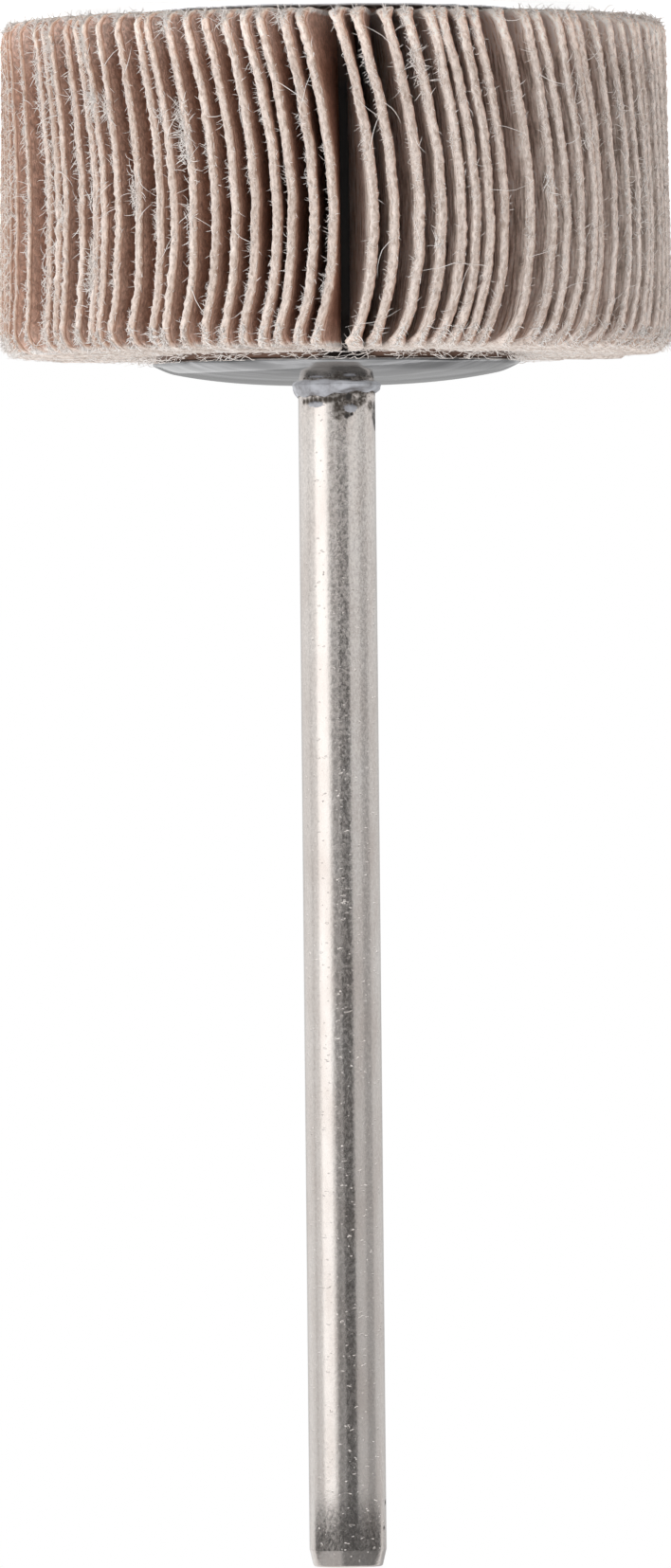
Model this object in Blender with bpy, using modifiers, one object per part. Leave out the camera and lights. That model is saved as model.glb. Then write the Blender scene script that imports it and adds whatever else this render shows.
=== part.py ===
"""A small flap wheel on a steel shank, standing on its head as it would on a bench.

Metres, +Z up. The origin is on the bench, on the wheel's axis, and the shank points up.
Strips of abrasive cloth stand in a cast resin hub. A thin steel washer covers each end of the
hub, and a bead of adhesive seals the shank where it leaves the wheel.
"""

import math
import random

import bmesh
import bpy

MM = 0.001

# Shank
SHANK_DIAMETER = 3.0 * MM
SHANK_LENGTH = 60.65 * MM
SHANK_CHAMFER_LENGTH = 0.65 * MM
SHANK_CHAMFER_DEPTH = 0.14 * MM
SHANK_END_ROUND = 0.09 * MM
SHANK_HEAD_RECESS = 0.05 * MM

# Washers
WASHER_DIAMETER = 14.25 * MM
WASHER_SHEET = 0.25 * MM
WASHER_DISH = 0.66 * MM
WASHER_DISH_POWER = 2.75
WASHER_EDGE_ROUND = 0.06 * MM

# Clearances between pieces that touch on the real wheel
SHANK_CLEARANCE = 0.10 * MM
SEAT_CLEARANCE = 0.10 * MM
BEAD_CLEARANCE = 0.05 * MM

# The open slits between the ends of the flaps and the washers
HEAD_SLIT = 0.18 * MM
SHANK_SLIT = 0.32 * MM

# Wheel
WHEEL_DIAMETER = 26.0 * MM
WHEEL_WIDTH = 13.05 * MM
RIM_FLARE = 0.09 * MM
RIM_CORNER = 0.85 * MM
HUB_DIAMETER = 14.0 * MM

# Flaps
FLAP_THICKNESS = 0.38 * MM
FLAP_GLUE_LINE = 0.064 * MM
FLAP_ROOT_DEPTH = 0.55 * MM
SLIT_AT_HUB = math.radians(1.6)
SLIT_AT_RIM = math.radians(7.0)
SLIT_ANGLE = math.radians(-93.2)
RIM_GAP_RANGE = (0.66, 1.40)
RIM_GAP_RUN = 5
END_RISE = 0.17 * MM

# Flaps that the photo shows off their even place: number from the slit, and degrees at the rim
RIM_SHIFTS = {
    3: -1.5, 4: -0.8, 5: -1.4, 6: -1.2, 7: -0.9, 8: -0.9, 9: -1.5, 10: -1.3, 11: -1.0,
    12: -0.9, 13: -1.8, 14: -2.3, 15: -2.0, 16: -4.1, 17: -6.0, 18: -0.8, 19: 2.2, 20: 2.9,
    21: 2.6, 22: 1.5, 23: 0.8, 84: 1.3, 90: 1.9, 95: -0.7, 96: -0.5,
}

# Bend of the flaps, seen on their outer edge: the corners trail behind the bow
BOW_APEX = 0.59
BOW_LEAN = math.radians(2.4)
HEAD_LAG = math.radians(6.2)
HEAD_LAG_SPREAD = math.radians(0.5)
HEAD_LAG_POWER = 1.7
SHANK_SIDE_LAG = math.radians(3.8)
SHANK_SIDE_LAG_SWING = math.radians(2.2)
SHANK_SIDE_LAG_POWER = 2.6
BEND_POWER = 1.35

# Adhesive bead
BEAD_FOOT_DIAMETER = 3.90 * MM
BEAD_TIP_DIAMETER = 3.26 * MM
BEAD_HEIGHT = 0.72 * MM

# Facets
TURNED_STEPS = 48
DISH_STEPS = 5
BEAD_STEPS = 4
EDGE_STEPS = 4
SEED = 145764

# Heights above the bench, worked out from the sizes above
HEAD_WASHER_TOP = WASHER_SHEET
FLAPS_LOW = HEAD_WASHER_TOP + HEAD_SLIT
FLAPS_HIGH = FLAPS_LOW + WHEEL_WIDTH
SHANK_WASHER_RIM = FLAPS_HIGH + SHANK_SLIT
BEAD_LOW = SHANK_WASHER_RIM + WASHER_SHEET + WASHER_DISH + BEAD_CLEARANCE
BORE_RADIUS = SHANK_DIAMETER / 2 + SHANK_CLEARANCE
HUB_RADIUS = HUB_DIAMETER / 2
FLAP_COUNT = int((2 * math.pi - SLIT_AT_HUB) * HUB_RADIUS / (FLAP_THICKNESS + FLAP_GLUE_LINE))


def clear_scene():
    for obj in list(bpy.data.objects):
        bpy.data.objects.remove(obj, do_unlink=True)


def new_collection(name, shown=True):
    collection = bpy.data.collections.new(name)
    collection.hide_render = not shown
    bpy.context.scene.collection.children.link(collection)
    return collection


def finish(name, color, roughness, metallic=0.0):
    """A plain Principled material."""
    material = bpy.data.materials.new(name)
    material.use_nodes = True
    shader = material.node_tree.nodes["Principled BSDF"]
    shader.inputs["Base Color"].default_value = (*color, 1.0)
    shader.inputs["Roughness"].default_value = roughness
    shader.inputs["Metallic"].default_value = metallic
    material.diffuse_color = (*color, 1.0)
    return material


def mesh_object(name, mesh, material, collection):
    obj = bpy.data.objects.new(name, mesh)
    obj.data.materials.append(material)
    collection.objects.link(obj)
    return obj


def profile_mesh(name, points, closed):
    """A chain of edges in the XZ plane, for a Screw modifier."""
    mesh = bpy.data.meshes.new(name)
    edges = [(i, i + 1) for i in range(len(points) - 1)]
    if closed:
        edges.append((len(points) - 1, 0))
    mesh.from_pydata([(radius, 0.0, height) for radius, height in points], edges, [])
    return mesh


def add_screw(obj, steps):
    screw = obj.modifiers.new("turn", "SCREW")
    screw.axis = "Z"
    screw.angle = 2 * math.pi
    screw.steps = steps
    screw.render_steps = steps
    screw.use_merge_vertices = True
    screw.merge_threshold = 0.000001
    screw.use_smooth_shade = True
    return screw


def turned(name, points, closed, material, collection):
    """A solid of revolution about Z. Its profile runs down the outer side."""
    obj = mesh_object(name, profile_mesh(name, points, closed), material, collection)
    add_screw(obj, TURNED_STEPS)
    return obj


def shank(material, collection):
    """A plain steel pin, chamfered at its free end, that runs through the hub to the head."""
    radius = SHANK_DIAMETER / 2
    tip = SHANK_HEAD_RECESS + SHANK_LENGTH
    end_radius = radius - SHANK_CHAMFER_DEPTH
    profile = [
        (0.0, tip),
        (end_radius - SHANK_END_ROUND, tip),
        (end_radius, tip - SHANK_END_ROUND),
        (radius, tip - SHANK_CHAMFER_LENGTH),
        (radius, SHANK_HEAD_RECESS),
        (0.0, SHANK_HEAD_RECESS),
    ]
    return turned("shank", profile, False, material, collection)


def head_washer(material, collection):
    """The flat washer that the wheel stands on, with softly broken edges."""
    rim = WASHER_DIAMETER / 2
    soft = WASHER_EDGE_ROUND
    profile = [
        (BORE_RADIUS, HEAD_WASHER_TOP),
        (rim - soft, HEAD_WASHER_TOP),
        (rim, HEAD_WASHER_TOP - soft),
        (rim, soft),
        (rim - soft, 0.0),
        (BORE_RADIUS, 0.0),
    ]
    return turned("head_washer", profile, True, material, collection)


def dish_height(radius):
    """How far the shank-side washer bulges away from the hub at this radius."""
    return WASHER_DISH * (1.0 - (2 * radius / WASHER_DIAMETER) ** WASHER_DISH_POWER)


def shank_washer(material, collection):
    """The dished washer on the shank side: a pressed sheet, turned from its middle surface."""
    rim = WASHER_DIAMETER / 2
    middle = SHANK_WASHER_RIM + WASHER_SHEET / 2
    radii = [BORE_RADIUS + (rim - BORE_RADIUS) * i / DISH_STEPS for i in range(DISH_STEPS + 1)]
    profile = [(radius, middle + dish_height(radius)) for radius in radii]
    obj = turned("shank_washer", profile, False, material, collection)
    sheet = obj.modifiers.new("sheet", "SOLIDIFY")
    sheet.thickness = WASHER_SHEET
    sheet.offset = 0.0
    return obj


def adhesive_bead(material, collection):
    """The fillet of adhesive round the shank, on the crown of the dished washer."""
    foot = BEAD_FOOT_DIAMETER / 2
    tip = BEAD_TIP_DIAMETER / 2
    inner = SHANK_DIAMETER / 2 + BEAD_CLEARANCE
    outer = []
    for i in range(BEAD_STEPS + 1):
        fall = i / BEAD_STEPS
        outer.append((tip + (foot - tip) * fall**1.6, BEAD_LOW + BEAD_HEIGHT * (1.0 - fall)))
    top = BEAD_LOW + BEAD_HEIGHT
    profile = [(inner, top)] + outer + [(inner, BEAD_LOW)]
    return turned("adhesive_bead", profile, True, material, collection)


def hub_ring(name, material, collection):
    """The resin hub without its flaps. It fills the space between the washers that seat on it."""
    low = HEAD_WASHER_TOP + SEAT_CLEARANCE
    high = SHANK_WASHER_RIM - SEAT_CLEARANCE
    wall = HUB_RADIUS - BORE_RADIUS
    radii = [BORE_RADIUS + wall * i / DISH_STEPS for i in range(DISH_STEPS + 1)]
    profile = [(radius, high + dish_height(radius)) for radius in radii]
    profile += [(HUB_RADIUS, low), (BORE_RADIUS, low)]
    return turned(name, profile, True, material, collection)


def rim_gaps(count, rng):
    """Gaps between neighbours at the rim, in mean gaps. Each run of flaps keeps its share."""
    gaps = []
    while len(gaps) < count:
        run = [rng.uniform(*RIM_GAP_RANGE) for _ in range(min(RIM_GAP_RUN, count - len(gaps)))]
        scale = len(run) / sum(run)
        gaps.extend(gap * scale for gap in run)
    return gaps


def flap_angles():
    """(root angle, rim angle, head-side lag, shank-side lag) of each flap, round from the slit."""
    rng = random.Random(SEED)
    gaps = rim_gaps(FLAP_COUNT - 1, rng)
    root_pitch = (2 * math.pi - SLIT_AT_HUB) / FLAP_COUNT
    rim_pitch = (2 * math.pi - SLIT_AT_RIM) / (FLAP_COUNT - 1)
    root = SLIT_ANGLE + (SLIT_AT_HUB + root_pitch) / 2
    rim = SLIT_ANGLE + SLIT_AT_RIM / 2
    found = []
    for i in range(FLAP_COUNT):
        head_lag = HEAD_LAG + rng.uniform(-1.0, 1.0) * HEAD_LAG_SPREAD
        shank_lag = SHANK_SIDE_LAG - SHANK_SIDE_LAG_SWING * math.cos(rim)
        shift = math.radians(RIM_SHIFTS.get(i, 0.0))
        found.append((root, rim + shift - BOW_LEAN, head_lag, shank_lag))
        root += root_pitch
        if i < FLAP_COUNT - 1:
            rim += rim_pitch * gaps[i]
    return found


def edge_lag(share, head_lag, shank_lag):
    """How far the outer edge trails at this share of the wheel's width, from the head side."""
    if share < BOW_APEX:
        return head_lag * ((BOW_APEX - share) / BOW_APEX) ** HEAD_LAG_POWER
    return shank_lag * ((share - BOW_APEX) / (1.0 - BOW_APEX)) ** SHANK_SIDE_LAG_POWER


def flap_point(flap, radius, height):
    """A point on the middle surface of one flap."""
    root, rim, head_lag, shank_lag = flap
    low = HUB_RADIUS - FLAP_ROOT_DEPTH
    reach = (radius - low) / (WHEEL_DIAMETER / 2 - low)
    share = (height - FLAPS_LOW) / WHEEL_WIDTH
    lean = rim - root + BOW_LEAN + edge_lag(share, head_lag, shank_lag)
    angle = root + lean * reach**BEND_POWER
    return (radius * math.cos(angle), radius * math.sin(angle), height)


def end_rise(radius):
    """How far the shank-side end of a flap stands up towards the washer, from none at the rim."""
    rim = WHEEL_DIAMETER / 2
    return END_RISE * min(1.0, (rim - radius) / (rim - HUB_RADIUS))


def flap_stops():
    """The radii and heights at which a flap's sheet is divided, with a stop at each corner."""
    rim = WHEEL_DIAMETER / 2
    radii = [HUB_RADIUS - FLAP_ROOT_DEPTH, rim - RIM_CORNER, rim]
    straight = WHEEL_WIDTH - 2 * RIM_CORNER
    heights = [FLAPS_LOW + RIM_CORNER + straight * i / EDGE_STEPS for i in range(EDGE_STEPS + 1)]
    return radii, [FLAPS_LOW] + heights + [FLAPS_HIGH]


def flap_sheets():
    """One open sheet for each flap, all in one mesh."""
    radii, heights = flap_stops()
    mitre = RIM_CORNER * (1.0 - math.sqrt(0.5))
    mesh = bpy.data.meshes.new("flap_sheets")
    model = bmesh.new()
    for flap in flap_angles():
        columns = len(radii) - 1
        rows = len(heights) - 1
        made = bmesh.ops.create_grid(model, x_segments=columns, y_segments=rows, size=1.0)
        for vert in made["verts"]:
            column = round((vert.co.x + 1.0) / 2 * columns)
            row = round((vert.co.y + 1.0) / 2 * rows)
            radius = radii[column]
            height = heights[row]
            flare = RIM_FLARE * (2 * (height - FLAPS_LOW) / WHEEL_WIDTH - 1.0)
            if column == columns and row in (0, rows):
                radius -= mitre
                height += mitre if row == 0 else -mitre
            if row == rows:
                height += end_rise(radii[column])
            if column >= columns - 1:
                radius += flare
            vert.co = flap_point(flap, radius, height)
    model.to_mesh(mesh)
    model.free()
    return mesh


def flap_pack(material, collection, helpers):
    """The flaps, cast into the resin hub."""
    flaps = mesh_object("flap_sheets", flap_sheets(), material, helpers)
    sheet = flaps.modifiers.new("cloth", "SOLIDIFY")
    sheet.thickness = FLAP_THICKNESS
    sheet.offset = 0.0
    flaps.hide_render = True
    flaps.display_type = "WIRE"
    hub = hub_ring("flap_pack", material, collection)
    join = hub.modifiers.new("cast", "BOOLEAN")
    join.operation = "UNION"
    join.object = flaps
    return hub


def main():
    clear_scene()
    wheel = new_collection("flap_wheel")
    helpers = new_collection("helpers", shown=False)
    steel = finish("bright_steel", (0.62, 0.61, 0.60), 0.28, 1.0)
    plated = finish("plated_sheet", (0.55, 0.55, 0.56), 0.35, 1.0)
    cloth = finish("abrasive_cloth", (0.42, 0.27, 0.20), 0.95)
    resin = finish("adhesive", (0.62, 0.62, 0.66), 0.45)
    shank(steel, wheel)
    head_washer(plated, wheel)
    shank_washer(plated, wheel)
    adhesive_bead(resin, wheel)
    flap_pack(cloth, wheel, helpers)


main()
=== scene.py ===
"""The looks of a small flap wheel on a steel shank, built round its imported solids.

Metres, +Z up. The wheel stands on its head, as its solids do. The camera is turned over, so that
the picture shows the wheel above and the shank hanging down. The picture's right is -X.
"""

import math
import random

import bmesh
import bpy
import numpy as np
from mathutils import Euler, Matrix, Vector


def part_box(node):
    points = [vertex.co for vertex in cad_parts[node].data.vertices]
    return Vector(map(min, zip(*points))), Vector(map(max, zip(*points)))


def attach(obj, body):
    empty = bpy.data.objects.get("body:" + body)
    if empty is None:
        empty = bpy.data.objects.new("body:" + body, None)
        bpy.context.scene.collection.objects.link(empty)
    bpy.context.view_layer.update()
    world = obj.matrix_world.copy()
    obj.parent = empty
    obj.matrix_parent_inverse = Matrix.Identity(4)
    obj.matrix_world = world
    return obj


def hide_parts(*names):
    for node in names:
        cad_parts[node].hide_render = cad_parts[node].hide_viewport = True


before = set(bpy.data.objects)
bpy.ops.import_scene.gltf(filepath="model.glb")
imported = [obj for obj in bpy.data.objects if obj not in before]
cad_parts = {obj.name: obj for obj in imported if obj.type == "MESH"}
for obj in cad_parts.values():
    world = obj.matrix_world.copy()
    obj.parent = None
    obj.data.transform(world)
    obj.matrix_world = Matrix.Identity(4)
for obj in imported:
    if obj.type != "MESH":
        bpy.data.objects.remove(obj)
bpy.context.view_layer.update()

MM = 0.001

# The photograph's view: a long lens, level with the middle of the whole length
PICTURE_HEIGHT_PX = 1655
PX_PER_MM = 27.1
FOCAL_LENGTH_PX = 17955.0
VIEW_ROLL = math.radians(180.0 - 0.57)
AXIS_OFFSET_PX = 5.3
HEAD_PX = 8.0
SENSOR_WIDTH = 36.0

# Shank
SHANK_RADIUS = 1.5 * MM
SHANK_CHAMFER_LENGTH = 0.65 * MM
SHANK_CHAMFER_DEPTH = 0.14 * MM
SHANK_END_ROUND = 0.09 * MM

# Washers
WASHER_SHEET = 0.25 * MM
WASHER_DISH = 0.66 * MM
WASHER_DISH_POWER = 2.75
WASHER_EDGE_SHEET = 0.09 * MM
WASHER_ROLL = 0.8 * MM
BORE_RADIUS = SHANK_RADIUS + 0.10 * MM
HEAD_WASHER_FLAT = 4.6 * MM
HEAD_WASHER_SPRING = 0.13 * MM
HEAD_WASHER_ROUND = 0.05 * MM

# Flaps, laid out by the same rule as the solid
HUB_RADIUS = 7.0 * MM
WHEEL_RADIUS = 13.0 * MM
WHEEL_WIDTH = 12.93 * MM
HEAD_CLEARANCE = 0.30 * MM
WHEEL_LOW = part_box("head_washer")[1].z + HEAD_CLEARANCE
RIM_FLARE = 0.09 * MM
RIM_CORNER = 0.85 * MM
HEAD_CORNER = 0.62 * MM
FLAP_THICKNESS = 0.38 * MM
FLAP_GLUE_LINE = 0.064 * MM
FLAP_ROOT_DEPTH = 0.55 * MM
ROOT_RADIUS = HUB_RADIUS - FLAP_ROOT_DEPTH
SLIT_AT_HUB = math.radians(1.6)
SLIT_AT_RIM = math.radians(7.0)
SLIT_ANGLE = math.radians(-93.2)
RIM_GAP_RANGE = (0.66, 1.40)
RIM_GAP_RUN = 5
BOW_APEX = 0.59
BOW_LEAN = math.radians(2.4)
HEAD_LAG = math.radians(6.2)
HEAD_LAG_SPREAD = math.radians(0.5)
HEAD_LAG_POWER = 1.7
SHANK_SIDE_LAG = math.radians(3.8)
SHANK_SIDE_LAG_SWING = math.radians(2.2)
SHANK_SIDE_LAG_POWER = 2.6
BEND_POWER = 1.35
SEED = 145764

# Flaps that the photo shows off their even place: number from the slit, and degrees at the rim
RIM_SHIFTS = {
    3: -1.5, 4: -0.8, 5: -1.4, 6: -1.2, 7: -0.9, 8: -0.9, 9: -1.5, 10: -1.3, 11: -1.0,
    12: -0.9, 13: -1.8, 14: -2.3, 15: -2.0, 16: -4.1, 17: -6.0, 18: -0.8, 19: 2.2, 20: 2.9,
    21: 2.6, 22: 1.5, 23: 0.8, 84: 1.3, 90: 1.9, 95: -0.7, 96: -0.5,
}
FLAP_COUNT = int((2 * math.pi - SLIT_AT_HUB) * HUB_RADIUS / (FLAP_THICKNESS + FLAP_GLUE_LINE))

# Flaps beside the slit whose head-side ends lean further over it: number and degrees
HEAD_LEANS = {97: 1.0, 96: 0.35}

# Fine form of the flaps
EDGE_BULGE = 0.13 * MM
EDGE_GRAIN = 0.005 * MM
EDGE_SQUARE = 0.80
EDGE_SWELL = 1.00
CORE_SWELL = 0.86
SWELL_REACH = 0.5 * MM
EDGE_ROWS = 5
CORNER_STOPS = 7
STRAIGHT_STOPS = 116
SHEET_STOPS = (0.0, 0.62, 0.93, 1.0)
SLOW_WAVE = 0.018 * MM
SLOW_WAVE_LENGTHS = (1.8 * MM, 5.5 * MM)
ROPE_WAVE = 0.012 * MM
ROPE_WAVE_LENGTHS = (0.30 * MM, 0.90 * MM)
CLOTH_FRAY = 0.026 * MM
FRAY_WAVE = 0.016 * MM
FRAY_WAVE_LENGTHS = (0.24 * MM, 1.10 * MM)
SIDE_WOBBLE = 1.2
RIM_SPREAD = 0.07 * MM
END_SPREAD = 0.07 * MM
END_RISE = 0.17 * MM
END_RISE_POWER = 8
END_SPLAY_SHARE = 0.42
END_SPLAY_LENGTH = 0.42 * MM
END_SPLAY_POWER = 1.6
FLAP_PIECES = ("front", "left", "back", "right")

# Each flap's looks are cut from its own layer of the noise, out of this depth of layers
NOISE_LAYERS = 50.0
PALEST = (0.93, 0.89, 0.86)
RIM_LIGHT_DEPTH = 0.75 * MM

# Cotton fibres. Signs: 1 is the shank's side of the wheel and -1 the head's
RIM_FIBRES = {"front": 400, "left": 110, "back": 90, "right": 380}
RIM_TUFTS = 4
RIM_TUFT_SPREAD = 0.32 * MM
TUFT_SHARE = 0.35
RIM_FIBRE_LENGTH = (0.06 * MM, 0.27 * MM)
RIM_FIBRE_THICKNESS = 0.80
RIM_FIBRE_POINTS = 3
RIM_FIBRE_CURL = 0.30
CORNER_FIBRES = {"front": 46, "left": 28, "back": 24, "right": 46}
FRINGE_SHARE = {1.0: 1.0, -1.0: 0.5}
FRINGE_THICKNESS = 1.25
FRINGE_TURN = {1.0: (0.15, 1.5), -1.0: (0.20, 1.15)}
FRINGE_LENGTH = (0.10 * MM, 0.34 * MM)
END_FIBRES = {1.0: 30, -1.0: 8}
END_FIBRE_LENGTH = (0.15 * MM, 0.60 * MM)
END_FIBRE_POINTS = 5
END_FIBRE_CURL = 0.45
FIBRE_REACH = 0.13 * MM
FIBRE_RADIUS = (0.010 * MM, 0.018 * MM)
LINT_FIBRES = 480
LINT_LENGTH = (0.25 * MM, 0.85 * MM)
LINT_POINTS = 7
LINT_CURL = 0.20
LINT_SLACK = 0.28 * MM
STRAY_FIBRES = 160
STRAY_LENGTH = (0.7 * MM, 2.2 * MM)
STRAY_POINTS = 6
STRAY_CURL = 0.19
TANGLE_LENGTH = (0.15 * MM, 0.65 * MM)
HEAD_FUZZ_DEPTH = 0.20 * MM

# Tufts of fluff that hang on single flaps: angle, height, spread along the flap and threads
TANGLES = (
    (-45.5, 3.9, 0.30, 190), (-49.0, 4.2, 0.25, 90), (-63.8, 5.4, 0.75, 240),
    (-53.7, 7.5, 0.45, 90), (-59.8, 4.6, 0.12, 30), (-36.2, 8.2, 0.25, 50),
    (-30.7, 1.4, 0.35, 110), (-42.3, 1.7, 0.55, 170), (-44.6, 10.5, 0.60, 220),
    (-30.7, 12.6, 0.25, 50), (-59.8, 1.0, 0.20, 55), (-72.2, 1.0, 0.15, 40),
    (-81.9, 0.9, 0.20, 35), (-64.0, 8.4, 0.35, 40), (-44.8, 7.8, 0.20, 25),
    (-105.9, 2.8, 0.70, 120), (-108.9, 9.6, 0.25, 25), (-129.9, 7.3, 0.30, 40),
    (-140.1, 5.6, 0.40, 40), (-147.1, 4.0, 0.25, 40), (-154.2, 8.2, 0.50, 45),
    (-26.0, 3.0, 1.30, 110), (-23.0, 9.0, 1.80, 110), (-17.0, 6.0, 2.50, 130),
    (-12.0, 3.5, 1.50, 70), (-11.0, 9.5, 1.80, 90), (-34.0, 2.6, 0.60, 60),
    (-33.0, 11.0, 0.70, 60), (-38.5, 5.0, 2.20, 90), (-34.5, 6.5, 2.50, 90),
    (-28.0, 6.0, 3.00, 110), (-21.0, 4.0, 2.50, 90), (-15.0, 8.0, 3.00, 90),
    (-9.0, 6.0, 3.00, 80), (-150.0, 6.0, 3.00, 90), (-158.0, 6.5, 3.00, 90),
    (-166.0, 6.0, 3.00, 90), (-172.0, 7.0, 3.00, 80), (40.0, 5.0, 0.70, 60),
    (120.0, 9.0, 0.70, 60), (170.0, 3.0, 0.70, 60),
)

# Adhesive: how high the bead climbs, in shares of the solid's height, and how far its foot spreads
BEAD_ROWS = 16
BEAD_STEPS = 96
BEAD_CLIMB = 0.36
BEAD_CLIMB_LEFT = 0.20
BEAD_SLACK_RIGHT = 0.12
BEAD_BRINK = 0.05
BEAD_FOOT = 1.72 * MM
BEAD_SLOPE_POWER = 0.62
BEAD_RUN = 0.45 * MM
BEAD_RUN_BEARING = 248.0
BEAD_RUN_SPREAD = 22.0
BEAD_RUN_POWER = 0.25
BEAD_LUMP = 0.045 * MM
BEAD_SINK = 0.12 * MM

# Smears of adhesive on the shank: angle, height, width, height of the smear and thickness
GLUE_SMEARS = (
    (-56.4, 15.47, 0.74, 0.24, 0.05),
    (-111.0, 15.64, 0.56, 0.32, 0.06),
    (70.0, 15.90, 0.60, 0.35, 0.05),
)

# Black stains, a dark band just under the adhesive and soiled spots on the shank: angle, height, radius
STAINS = (
    (-107.0, 15.16, 0.20), (-94.0, 15.02, 0.14), (-105.0, 15.93, 0.15), (-112.0, 15.86, 0.09),
    (-166.0, 15.58, 0.34), (-167.0, 15.86, 0.38), (-167.0, 16.12, 0.32), (-168.0, 16.36, 0.22),
    (-160.0, 59.2, 0.16), (-168.0, 58.2, 0.18), (100.0, 15.2, 0.30), (40.0, 15.3, 0.20),
)
DARK_BAND = (
    (-32.0, 15.36, 0.16), (-41.0, 15.34, 0.19), (-49.0, 15.32, 0.20), (-57.0, 15.31, 0.20),
    (-65.0, 15.31, 0.20), (-73.0, 15.30, 0.20), (-81.0, 15.29, 0.20), (-88.0, 15.30, 0.20),
)
SOILED = (
    (-98.0, 15.15, 0.42), (-112.0, 15.30, 0.48), (-130.0, 15.25, 0.40), (-90.0, 15.55, 0.28),
    (-103.0, 15.75, 0.30), (-97.0, 15.62, 0.36), (-93.0, 15.95, 0.22), (-150.0, 15.55, 0.30),
    (-52.0, 15.20, 0.26), (-68.0, 15.18, 0.24),
)
SPOT_RAGGEDNESS = 1.8
DARK_BAND_RAGGEDNESS = 0.9
COLLAR_HEIGHT = 15.45 * MM
COLLAR_FADE = 0.5 * MM
SOIL = (0.165, 0.142, 0.122)
STAIN_BLACK = (0.035, 0.030, 0.027)

# Light: two lamps by name, place and power, and the cards that the steel reflects
WORLD_LEVEL = 0.64
LAMPS = (("left_lamp", (0.60, -0.52, 0.10), 6.3), ("right_lamp", (-0.78, -0.22, 0.12), 1.9))
LAMP_SIZE = (0.45, 0.9)
LAMP_TARGET = (0.0, 0.0, 0.012)
FLOOR_RADIUS = 0.25
FLOOR_LIFT = 0.92
CARD_DISTANCE = 0.55
CARD_STEPS = 12
CARD_LEVEL_HEIGHTS = (-0.10, 0.11)
CARD_BAND_HEIGHTS = (0.11, 0.24)
CARD_ABOVE_HEIGHTS = (0.24, 0.60)
CARDS = (
    ("left_back", -158.5, 27.0, 0.78, CARD_LEVEL_HEIGHTS),
    ("left_line", -97.0, 8.0, 0.78, CARD_LEVEL_HEIGHTS),
    ("left_softbox", -52.5, 38.0, 1.75, CARD_LEVEL_HEIGHTS),
    ("dark_left", -15.0, 20.0, 0.36, CARD_LEVEL_HEIGHTS),
    ("dark_right", 14.5, 35.0, 0.14, CARD_LEVEL_HEIGHTS),
    ("right_near", 50.0, 32.0, 0.75, CARD_LEVEL_HEIGHTS),
    ("right_middle", 80.0, 30.0, 0.50, CARD_LEVEL_HEIGHTS),
    ("right_far", 120.0, 50.0, 0.80, CARD_LEVEL_HEIGHTS),
    ("right_back", 160.0, 28.0, 0.66, CARD_LEVEL_HEIGHTS),
    ("back_low", 181.0, 14.0, 0.38, CARD_LEVEL_HEIGHTS),
    ("right_back_above", 158.0, 52.0, 0.52, (0.11, 0.60)),
    ("front_band", 0.0, 236.0, 0.10, CARD_BAND_HEIGHTS),
    ("left_above", -65.0, 90.0, 0.60, CARD_ABOVE_HEIGHTS),
    ("right_above", 45.0, 130.0, 0.24, CARD_ABOVE_HEIGHTS),
)


def rgb(color):
    """A colour as three numbers. A single number stands for a grey."""
    return (color, color, color) if isinstance(color, float) else color


class Nodes:
    """Short forms for the nodes of one tree. Their values are numbers, colours or sockets."""

    def __init__(self, tree):
        self.tree = tree

    def put(self, socket, value):
        if isinstance(value, bpy.types.NodeSocket):
            self.tree.links.new(value, socket)
        elif socket.type == "RGBA":
            socket.default_value = (*rgb(value), 1.0)
        else:
            socket.default_value = value

    def add(self, kind, inputs=None, **settings):
        """A node with its properties set, and its inputs by name or number."""
        made = self.tree.nodes.new(kind)
        for name, value in settings.items():
            setattr(made, name, value)
        for key, value in (inputs or {}).items():
            self.put(made.inputs[key], value)
        return made

    def ramp(self, factor, stops):
        """A colour ramp through (position, colour) stops."""
        made = self.add("ShaderNodeValToRGB", {"Fac": factor})
        elements = made.color_ramp.elements
        while len(elements) < len(stops):
            elements.new(0.5)
        for element, (position, color) in zip(elements, stops):
            element.position = position
            element.color = (*rgb(color), 1.0)
        return made.outputs["Color"]

    def noise(self, vector, scale, detail=3.0, roughness=0.55, distortion=0.0):
        made = self.add("ShaderNodeTexNoise", {
            "Vector": vector, "Scale": scale, "Detail": detail, "Roughness": roughness,
            "Distortion": distortion,
        })
        return made.outputs["Fac"]

    def stretch(self, vector, scale):
        """The vector scaled on each axis, for grain that runs one way."""
        return self.add("ShaderNodeMapping", {"Vector": vector, "Scale": scale}).outputs["Vector"]

    def mix(self, factor, first, second, blend="MIX"):
        """Two colours mixed."""
        inputs = {0: factor, 6: first, 7: second}
        return self.add("ShaderNodeMix", data_type="RGBA", blend_type=blend, inputs=inputs).outputs[2]

    def times(self, first, second):
        return self.mix(1.0, first, second, "MULTIPLY")

    def math(self, operation, first, second):
        return self.add("ShaderNodeMath", {0: first, 1: second}, operation=operation).outputs[0]

    def clamp(self, value):
        return self.add("ShaderNodeClamp", {"Value": value}).outputs["Result"]

    def split(self, vector):
        """The X, Y and Z sockets of a vector."""
        return self.add("ShaderNodeSeparateXYZ", {0: vector}).outputs

    def distance(self, place, point):
        made = self.add("ShaderNodeVectorMath", {0: place, 1: point}, operation="DISTANCE")
        return made.outputs["Value"]

    def attribute(self, name, output):
        return self.add("ShaderNodeAttribute", attribute_name=name).outputs[output]

    def object_place(self):
        return self.add("ShaderNodeTexCoord").outputs["Object"]

    def seen_or_mirrored(self):
        """1 for what the camera sees, also in a mirror, and 0 for light that falls on things."""
        paths = self.add("ShaderNodeLightPath").outputs
        return self.math("MAXIMUM", paths["Is Camera Ray"], paths["Is Glossy Ray"])


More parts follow.
